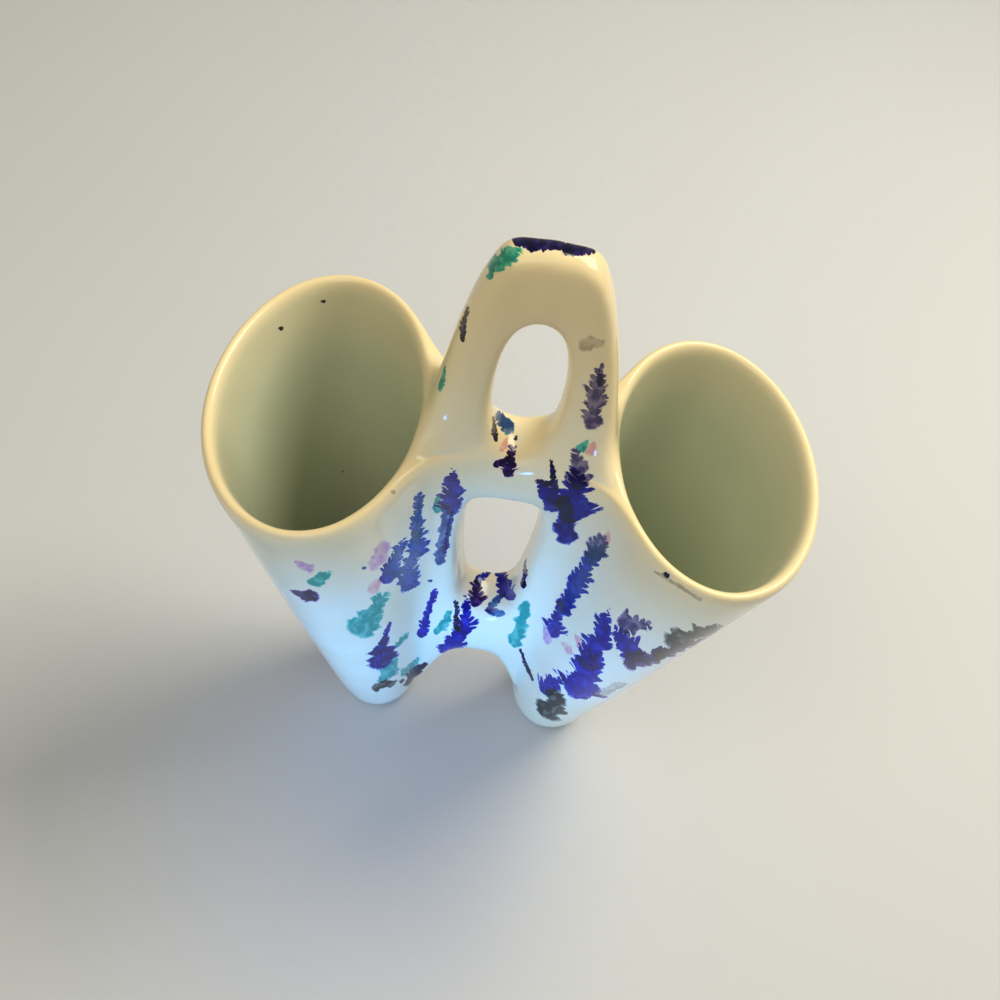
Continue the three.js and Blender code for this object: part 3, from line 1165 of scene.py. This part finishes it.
class Sketch:
    """A material's node tree, drawn one node at a time."""

    def __init__(self, name: str) -> None:
        """Starts a material with only its output.

        Args:
            name: The material's name.
        """
        self.material = bpy.data.materials.new(name)
        self.material.use_nodes = True
        self.nodes = self.material.node_tree.nodes
        self.links = self.material.node_tree.links
        self.nodes.clear()
        self.output = self.nodes.new("ShaderNodeOutputMaterial")

    def feed(self, socket: bpy.types.NodeSocket, value: object) -> None:
        """Links a socket to one of the sketch's values, or sets it to a plain one.

        Args:
            socket: The input socket.
            value: What it is fed with.
        """
        if isinstance(value, Value):
            self.links.new(value.socket, socket)
        else:
            socket.default_value = value

    def add(self, kind: str, **inputs: object) -> bpy.types.Node:
        """Adds a node.

        Args:
            kind: The node's type.
            inputs: What its inputs are fed with, by their names with underscores for the spaces.

        Returns:
            The node.
        """
        node = self.nodes.new(f"ShaderNode{kind}")
        for name, value in inputs.items():
            self.feed(node.inputs[name.replace("_", " ")], value)
        return node

    def finish(self, **inputs: object) -> bpy.types.Material:
        """Ends the sketch in one shader with these inputs and returns the material."""
        shader = self.add("BsdfPrincipled", **inputs)
        self.links.new(shader.outputs[0], self.output.inputs[0])
        return self.material

    def relief(self, height: Value, strength: float, depth: float) -> Value:
        """Fine relief as deep as the height says, for a shader's normal."""
        return Value(self, self.add("Bump", Strength=strength, Distance=depth, Height=height).outputs[0])

    def attribute(self, name: str, vector: bool = False) -> Value:
        """Reads numbers that are kept on the piece's points."""
        node = self.add("Attribute")
        node.attribute_name = name
        return Value(self, node.outputs["Vector" if vector else "Fac"])

    def place(self) -> Value:
        """The point's place on the object."""
        return Value(self, self.add("TexCoord").outputs["Object"])

    def math(self, operation: str, *values: Value | float) -> Value:
        """One sum on numbers.

        Args:
            operation: The Math node's operation.
            values: The numbers that it needs, up to three.

        Returns:
            The result.
        """
        node = self.add("Math")
        node.operation = operation
        for socket, value in zip(node.inputs, values):
            self.feed(socket, value)
        return Value(self, node.outputs[0])

    def distance(self, first: Value, second: Value) -> Value:
        """How far away a point is that lies this far off in two square directions."""
        return self.math("SQRT", first ** 2.0 + second ** 2.0)

    def split(self, vector: Value) -> tuple[Value, ...]:
        """The three numbers of a vector."""
        return tuple(Value(self, output) for output in self.add("SeparateXYZ", Vector=vector).outputs)

    def join(self, x: Value | float, y: Value | float, z: Value | float) -> Value:
        """A vector of three numbers."""
        return Value(self, self.add("CombineXYZ", X=x, Y=y, Z=z).outputs[0])

    def grain(self, vector: Value, scale: float, detail: float = 2.0) -> Value:
        """Soft noise between 0 and 1.

        Args:
            vector: The place that it is read at.
            scale: How many features there are to a unit.
            detail: How many finer layers it has.

        Returns:
            The noise.
        """
        return Value(self, self.add("TexNoise", Vector=vector, Scale=scale, Detail=detail).outputs[0])

    def wave(self, vector: Value, scale: float) -> Value:
        """Plain soft noise that goes as far below 0 as above it."""
        return self.grain(vector, scale, 1.0) - 0.5

    def step(self, value: Value, ramp: Ramp) -> Value:
        """Takes a value through a soft step.

        Args:
            value: The value.
            ramp: The step.

        Returns:
            The result.
        """
        node = self.add("MapRange", Value=value)
        node.interpolation_type = "SMOOTHSTEP"
        for socket, number in zip(node.inputs[1:], (ramp.low, ramp.high, ramp.start, ramp.end)):
            self.feed(socket, number)
        return Value(self, node.outputs[0])

    def mix(self, share: object, first: object, second: object, blend: str = "MIX") -> Value:
        """Mixes two colours.

        Args:
            share: How much of the second shows.
            first: A value of the sketch, or red, green and blue.
            second: A value of the sketch, or red, green and blue.
            blend: The Mix node's blend type.

        Returns:
            The mixed colour.
        """
        node = self.add("Mix")
        node.data_type = "RGBA"
        node.blend_type = blend
        colours = [colour if isinstance(colour, Value) else (*colour, 1.0) for colour in (first, second)]
        for socket, value in zip((node.inputs[0], node.inputs[6], node.inputs[7]), (share, *colours)):
            self.feed(socket, value)
        return Value(self, node.outputs[2])


@dataclass(frozen=True)
class Feathering:
    """How a dab spreads in the wet glaze, in millimetres and in shares of its width and length."""

    seed_stretch: float = 7.0
    wander_scale: float = 0.16
    tail: Ramp = Ramp(-1.1, 0.4, 0.62, 1.0)
    stout_scale: float = 0.7
    stout_stretch: float = 0.5
    stoutness: Ramp = Ramp(0.33, 0.67, 0.62, 1.22)
    end_round: float = 0.7
    sway_scale: float = 0.25
    sway: float = 3.0
    slant: float = 0.6
    lobe_spacing: float = 1.45
    lobe_widening: float = 0.20
    lobe_depth: float = 0.66
    twig_slant: float = 0.1
    twig_spacing: float = 0.95
    twig_depth: float = 0.14
    mean_reach: float = 0.46
    clump_scale: float = 0.8
    clump_stretch: float = 0.42
    clump_shift: float = 9.0
    clumps: Ramp = Ramp(0.36, 0.60, 0.35, 1.25)
    calm_drop: Ramp = Ramp(0.4, 0.9, 1.0, 0.12)
    rough_scale: float = 1.3
    roughness: float = 0.30
    edge: float = 0.96
    softness: float = 0.26
    sharpening: float = 0.16
    bead_place: float = 0.62
    bead_size: float = 0.78
    bead_edge: Ramp = Ramp(0.72, 0.98, 1.0, 0.0)
    bead_feather: float = 0.5
    pool_scale: float = 0.42
    pooling: Ramp = Ramp(0.36, 0.60, 0.66, 1.3)
    side_shift: float = 0.23
    side_seed: float = 5.3
    lobe_seed: float = 5.37
    notch: float = 1.12
    lobe_squareness: float = 4.0
    lobe_lengths: Ramp = Ramp(0.25, 0.75, 0.45, 1.15)

    def lobes(self, along: Value, spacing: Value | float, side: Value, seed: Value) -> Value:
        """A row of round-ended lobes of uneven length, from 0 in their notches up to about 1.

        Args:
            along: How far along the row the point lies.
            spacing: How far apart the lobes stand.
            side: Which side of the row it is, -1 or 1.
            seed: A number that makes the row its own.

        Returns:
            How far the row reaches outwards there.
        """
        sketch = along.sketch
        turns = side.times(self.side_shift, plus=along / spacing)
        number = sketch.math("FLOOR", turns)
        share = (turns - number).times(2 * self.notch, plus=-self.notch)
        dome = sketch.math("SQRT", sketch.math("MAXIMUM", 1.0 - abs(share) ** self.lobe_squareness, 0.0))
        pick = sketch.grain(sketch.join(number, side * self.side_seed, seed), self.lobe_seed, 0.0)
        return dome * sketch.step(pick, self.lobe_lengths)

    def reach(self, a: Value, b: Value, seed: Value, run: Value, width: Value, feather: Value) -> Value:
        """How far the fern's outline reaches outwards at a point, as a share of the plain dab.

        Args:
            a: The point's place along the dab.
            b: Its place across the dab.
            seed: The dab's own number.
            run: Its place along, from -1 at the tail to 1 at the drop.
            width: The dab's half width.
            feather: How much its stain feathers.

        Returns:
            The reach, 1 for a plain outline.
        """
        sketch = a.sketch
        off = abs(b)
        side = sketch.math("SIGN", b)
        here = sketch.join(a, b, seed * self.seed_stretch)
        sway = sketch.wave(here, self.sway_scale) * self.sway
        slant = off.times(self.slant, plus=a) + sway
        lobes = self.lobes(slant, width.times(self.lobe_widening, plus=self.lobe_spacing), side, seed)
        twigs = self.lobes(off.times(self.twig_slant, plus=a), self.twig_spacing, side, seed)
        reach = twigs.times(self.twig_depth, plus=lobes * self.lobe_depth)
        spot = sketch.join(a * self.clump_stretch, side, seed + self.clump_shift)
        clump = sketch.step(sketch.grain(spot, self.clump_scale, 1.0), self.clumps)
        fray = feather * sketch.step(run, self.calm_drop) * clump
        return fray * (reach - self.mean_reach) + 1.0

    def shape(self, place: Value, size: Value) -> Value:
        """Draws a dab's outline with the round bead of stain at its drop.

        Args:
            place: The point's place along and across the dab, and the dab's own number.
            size: The dab's half length and half width, and how much its stain feathers.

        Returns:
            The share of stain, from 0 outside to 1 inside, darker and lighter in places.
        """
        sketch = place.sketch
        a, b, seed = sketch.split(place)
        length, width, feather = sketch.split(size)
        here = sketch.join(a, b, seed * self.seed_stretch)
        bent = abs(sketch.wave(here, self.wander_scale).times(width, plus=b))
        run = a / length
        stripe = sketch.join(a * self.stout_stretch, sketch.math("SIGN", b), seed)
        stout = sketch.step(sketch.grain(stripe, self.stout_scale, 1.0), self.stoutness)
        over = bent / (width * (sketch.step(run, self.tail) * stout))
        past = sketch.math("MAXIMUM", abs(a) - width.times(-self.end_round, plus=length), 0.0) / width
        rough = sketch.wave(here, self.rough_scale)
        plain = sketch.distance(over, past)
        ragged = rough.times(self.roughness, plus=plain / self.reach(a, b, seed, run, width, feather))
        soft = feather.times(-self.sharpening, plus=self.softness)
        fern = sketch.step(ragged, Ramp(self.edge - soft, soft + self.edge, 1.0, 0.0))
        below = a - width.times(-self.bead_place, plus=length)
        bead = rough.times(self.roughness, plus=sketch.distance(below, b) / (width * self.bead_size))
        bead = sketch.step(bead, self.bead_edge) * sketch.math("GREATER_THAN", feather, self.bead_feather)
        pool = sketch.step(sketch.grain(here, self.pool_scale, 2.0), self.pooling)
        return sketch.math("MAXIMUM", fern, bead) * pool


@dataclass(frozen=True)
class Glaze:
    """A glossy cream-white glaze over stained dabs, breaking thinner on the edges and pooled in the creases,
    with painted warm shade towards the top and painted greenish shade inside the cups.
    """

    name: str
    white: Triple = (0.83, 0.79, 0.66)
    cream: Triple = (0.80, 0.73, 0.55)
    # Painted shade: a darker greenish grey that stands for the white glaze in shade inside the cups.
    sage: Triple = (0.52, 0.57, 0.43)
    # A warm tan, both for glaze breaking thinner on the edges and for painted warm shade on the upper parts.
    thin_glaze_and_warm_shade: Triple = (0.85, 0.71, 0.41)
    pooled: Triple = (0.58, 0.66, 0.62)
    clay: Triple = (0.52, 0.40, 0.27)
    pale_clay: Triple = (0.66, 0.54, 0.40)
    iron: Triple = (0.10, 0.08, 0.06)
    cloud_scale: float = 22.0
    cloudiness: Ramp = Ramp(0.36, 0.68)
    # Painted warm shade: the handle and saddle are tinted tan, as if lying in the warm lamp's shade.
    painted_warm_shade_top: Ramp = Ramp(100 * MM, 165 * MM, 0.0, 0.9)
    thin_edges: Ramp = Ramp(0.03, 0.35, 0.0, 0.75)
    pooled_creases: Ramp = Ramp(-0.02, -0.12, 0.0, 0.5)
    # Painted shade inside the cups: part strength near the lip, full strength deeper down.
    inside_shade_depth: Ramp = Ramp(150 * MM, 120 * MM, 0.55, 1.0)
    speck_scale: float = 95.0
    speck_edge: Ramp = Ramp(0.03, 0.07, 0.55, 0.0)
    speck_rarity: float = 0.93
    wiped_scale: float = 300.0
    wiped_foot: Ramp = Ramp(1.0 * MM, 1.5 * MM, 1.0, 0.0)
    wiped_wander: float = 1.2 * MM
    gloss_scale: float = 60.0
    gloss: Ramp = Ramp(0.3, 0.7, 0.10, 0.17)
    clay_scale: float = 900.0
    bare_roughness: float = 0.65
    specular: float = 0.27
    coat: float = 0.14
    coat_roughness: float = 0.05
    peel_scale: float = 85.0
    fine_peel_scale: float = 260.0
    fine_peel: float = 0.4
    peel_strength: float = 0.12
    peel_depth: float = 0.6 * MM
    feathering: Feathering = Feathering()

    def ground(self, sketch: Sketch, place: Value, height: Value) -> Value:
        """The glaze's colour, from white to cream, with painted warm shade towards the top and painted
        greenish shade inside the cups.

        Args:
            sketch: The material.
            place: The point's place.
            height: Its height.

        Returns:
            The colour below the dabs.
        """
        fold = sketch.attribute(FOLD)
        cloud = sketch.step(sketch.grain(place, self.cloud_scale, 3.0), self.cloudiness)
        colour = sketch.mix(cloud, self.white, self.cream)
        # Painted warm shade: the colour turns tan towards the top, where the handle and saddle lie in warm
        # shade.
        colour = sketch.mix(sketch.step(height, self.painted_warm_shade_top), colour, self.thin_glaze_and_warm_shade)
        colour = sketch.mix(sketch.step(fold, self.thin_edges), colour, self.thin_glaze_and_warm_shade)
        colour = sketch.mix(sketch.step(fold, self.pooled_creases), colour, self.pooled)
        # Painted shade: the inside of each cup is tinted a darker greenish grey, more so deeper down, where
        # the cup shades itself.
        depth = sketch.attribute(INSIDE) * sketch.step(height, self.inside_shade_depth)
        return sketch.mix(depth, colour, self.sage)

    def stained(self, sketch: Sketch, under: Value, layer: int) -> Value:
        """Draws one layer of feathered dabs over a colour.

        Args:
            sketch: The material.
            under: The colour below.
            layer: The number of the layer.

        Returns:
            The colour with the dabs on it.
        """
        names = (f"{name}{layer}" for name in (PLACE, REACH, STAIN))
        place, size, dye = [sketch.attribute(name, vector=True) for name in names]
        strength = self.feathering.shape(place, size) * sketch.attribute(f"{COVER}{layer}")
        tints = [channel ** strength for channel in sketch.split(dye)]
        return sketch.mix(1.0, under, sketch.join(*tints), "MULTIPLY")

    def specked(self, sketch: Sketch, under: Value, place: Value) -> Value:
        """Strews rare iron specks over a colour.

        Args:
            sketch: The material.
            under: The colour below.
            place: The point's place.

        Returns:
            The colour with the specks on it.
        """
        cells = sketch.add("TexVoronoi", Vector=place, Scale=self.speck_scale).outputs
        speck = sketch.step(Value(sketch, cells["Distance"]), self.speck_edge)
        pick = sketch.split(Value(sketch, cells["Color"]))[0]
        return sketch.mix(speck * sketch.math("GREATER_THAN", pick, self.speck_rarity), under, self.iron)

    def make(self) -> bpy.types.Material:
        """Draws the glaze's nodes.

        Returns:
            The material.
        """
        sketch = Sketch(self.name)
        place = sketch.place()
        height = sketch.split(place)[2]
        colour = self.ground(sketch, place, height)
        for layer in range(STAIN_LAYERS):
            colour = self.stained(sketch, colour, layer)
        colour = self.specked(sketch, colour, place)
        wiped = sketch.grain(place, self.wiped_scale).times(self.wiped_wander, plus=height)
        bare = sketch.step(wiped, self.wiped_foot)
        clay = sketch.mix(sketch.grain(place, self.clay_scale, 3.0), self.clay, self.pale_clay)
        gloss = sketch.step(sketch.grain(place, self.gloss_scale), self.gloss)
        fine = sketch.grain(place, self.fine_peel_scale)
        peel = fine.times(self.fine_peel, plus=sketch.grain(place, self.peel_scale))
        return sketch.finish(
            Base_Color=sketch.mix(bare, colour, clay),
            Roughness=bare.times(self.bare_roughness, plus=gloss),
            Specular_IOR_Level=self.specular,
            Coat_Weight=self.coat,
            Coat_Roughness=self.coat_roughness,
            Normal=sketch.relief(peel, self.peel_strength, self.peel_depth),
        )


@dataclass(frozen=True)
class BareClay:
    """The scored, unglazed clay of the joints."""

    name: str = "scored_clay"
    light: Triple = (0.62, 0.50, 0.36)
    dark: Triple = (0.46, 0.35, 0.24)
    grit_scale: float = 700.0
    roughness: float = 0.85
    score_strength: float = 0.4
    score_depth: float = 0.3 * MM

    def make(self) -> bpy.types.Material:
        """Draws the clay's nodes.

        Returns:
            The material.
        """
        sketch = Sketch(self.name)
        grit = sketch.grain(sketch.place(), self.grit_scale, 4.0)
        return sketch.finish(
            Base_Color=sketch.mix(grit, self.dark, self.light),
            Roughness=self.roughness,
            Normal=sketch.relief(grit, self.score_strength, self.score_depth),
        )


@dataclass
class Vase:
    """The dressed vase: the skin divided into its five parts."""

    skin: Skin

    def dress(self) -> None:
        """Makes each part's object, with its glaze and its place on the frame."""
        clay = BareClay().make()
        glazes = {name: Glaze(name).make() for name in ("cup_glaze", "web_glaze")}
        for part in Part:
            slot = "cup_glaze" if part in (Part.RIGHT_CUP, Part.LEFT_CUP) else "web_glaze"
            mesh = self.skin.part_mesh(part)
            mesh.materials.clear()
            mesh.materials.append(glazes[slot])
            mesh.materials.append(clay)
            piece = show(f"{part.node}_glazed", mesh)
            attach(piece, "root")
            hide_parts(part.node)
            log.info("%s: %d faces", piece.name, len(mesh.polygons))


@dataclass(frozen=True)
class Lamp:
    """A soft lamp: where it stands, how wide, high and strong it is, its colour and where it points."""

    name: str
    place: Triple
    size: Pair
    power: float
    colour: Triple
    target: Triple = (0.0, 0.0, 0.09)
    spread: float = 180.0

    def stand(self) -> None:
        """Puts the lamp in the scene, facing its target."""
        data = bpy.data.lights.new(self.name, "AREA")
        data.shape = "RECTANGLE"
        data.size, data.size_y = self.size
        data.energy = self.power
        data.color = self.colour
        data.spread = radians(self.spread)
        lamp = show(self.name, data)
        lamp.location = self.place
        aim = Vector(self.target) - Vector(self.place)
        lamp.rotation_euler = aim.to_track_quat("-Z", "Y").to_euler()


@dataclass(frozen=True)
class Studio:
    """The plain pale floor, the soft lamps and the even light of the room."""

    floor_half: float = 3.0
    floor_colour: Triple = (0.58, 0.61, 0.66)
    floor_roughness: float = 0.75
    cloud_scale: float = 6.0
    cloud_gain: float = 1.04
    room: Triple = (0.98, 0.92, 0.80)
    room_strength: float = 0.30
    lamps: tuple[Lamp, ...] = (
        Lamp("window", (-0.08, -0.55, 0.07), (0.14, 0.08), 0.105, COOL, (-0.012, 0.0, 0.062), 24.0),
        Lamp("warm_lamp", (0.45, 0.30, 0.80), (0.5, 0.5), 7.6, WARM),
        Lamp("ceiling", (-0.35, -0.45, 1.00), (0.7, 0.7), 3.2, WARM),
    )

    def lay_floor(self) -> None:
        """Lays the plain floor on which the two feet stand."""
        bm = bmesh.new()
        bmesh.ops.create_grid(bm, x_segments=2, y_segments=2, size=self.floor_half)
        mesh = to_mesh(bm, "floor")
        sketch = Sketch("pale_floor")
        cloud = sketch.grain(sketch.place(), self.cloud_scale)
        paler = tuple(part * self.cloud_gain for part in self.floor_colour)
        colour = sketch.mix(cloud, self.floor_colour, paler)
        mesh.materials.append(sketch.finish(Base_Color=colour, Roughness=self.floor_roughness))
        floor = show("floor", mesh)

    def light(self) -> None:
        """Lights the room and stands the lamps."""
        world = bpy.data.worlds.new("room")
        world.use_nodes = True
        background = world.node_tree.nodes["Background"]
        background.inputs["Color"].default_value = (*self.room, 1.0)
        background.inputs["Strength"].default_value = self.room_strength
        bpy.context.scene.world = world
        bpy.context.scene.view_settings.view_transform = "Standard"
        for lamp in self.lamps:
            lamp.stand()


def main() -> None:
    """Builds the vase, its decoration, the studio and the camera."""
    logging.basicConfig(level=logging.INFO, format="%(name)s: %(message)s")
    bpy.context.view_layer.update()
    camera = PhotoCamera()
    camera.stand()
    skin = Skin.from_cage(SkinCage(CupSizes.from_frame()).build())
    skin.write_fold()
    Decoration(camera, skin).dab()
    Vase(skin).dress()
    studio = Studio()
    studio.lay_floor()
    studio.light()


if __name__ == "__main__":
    main()
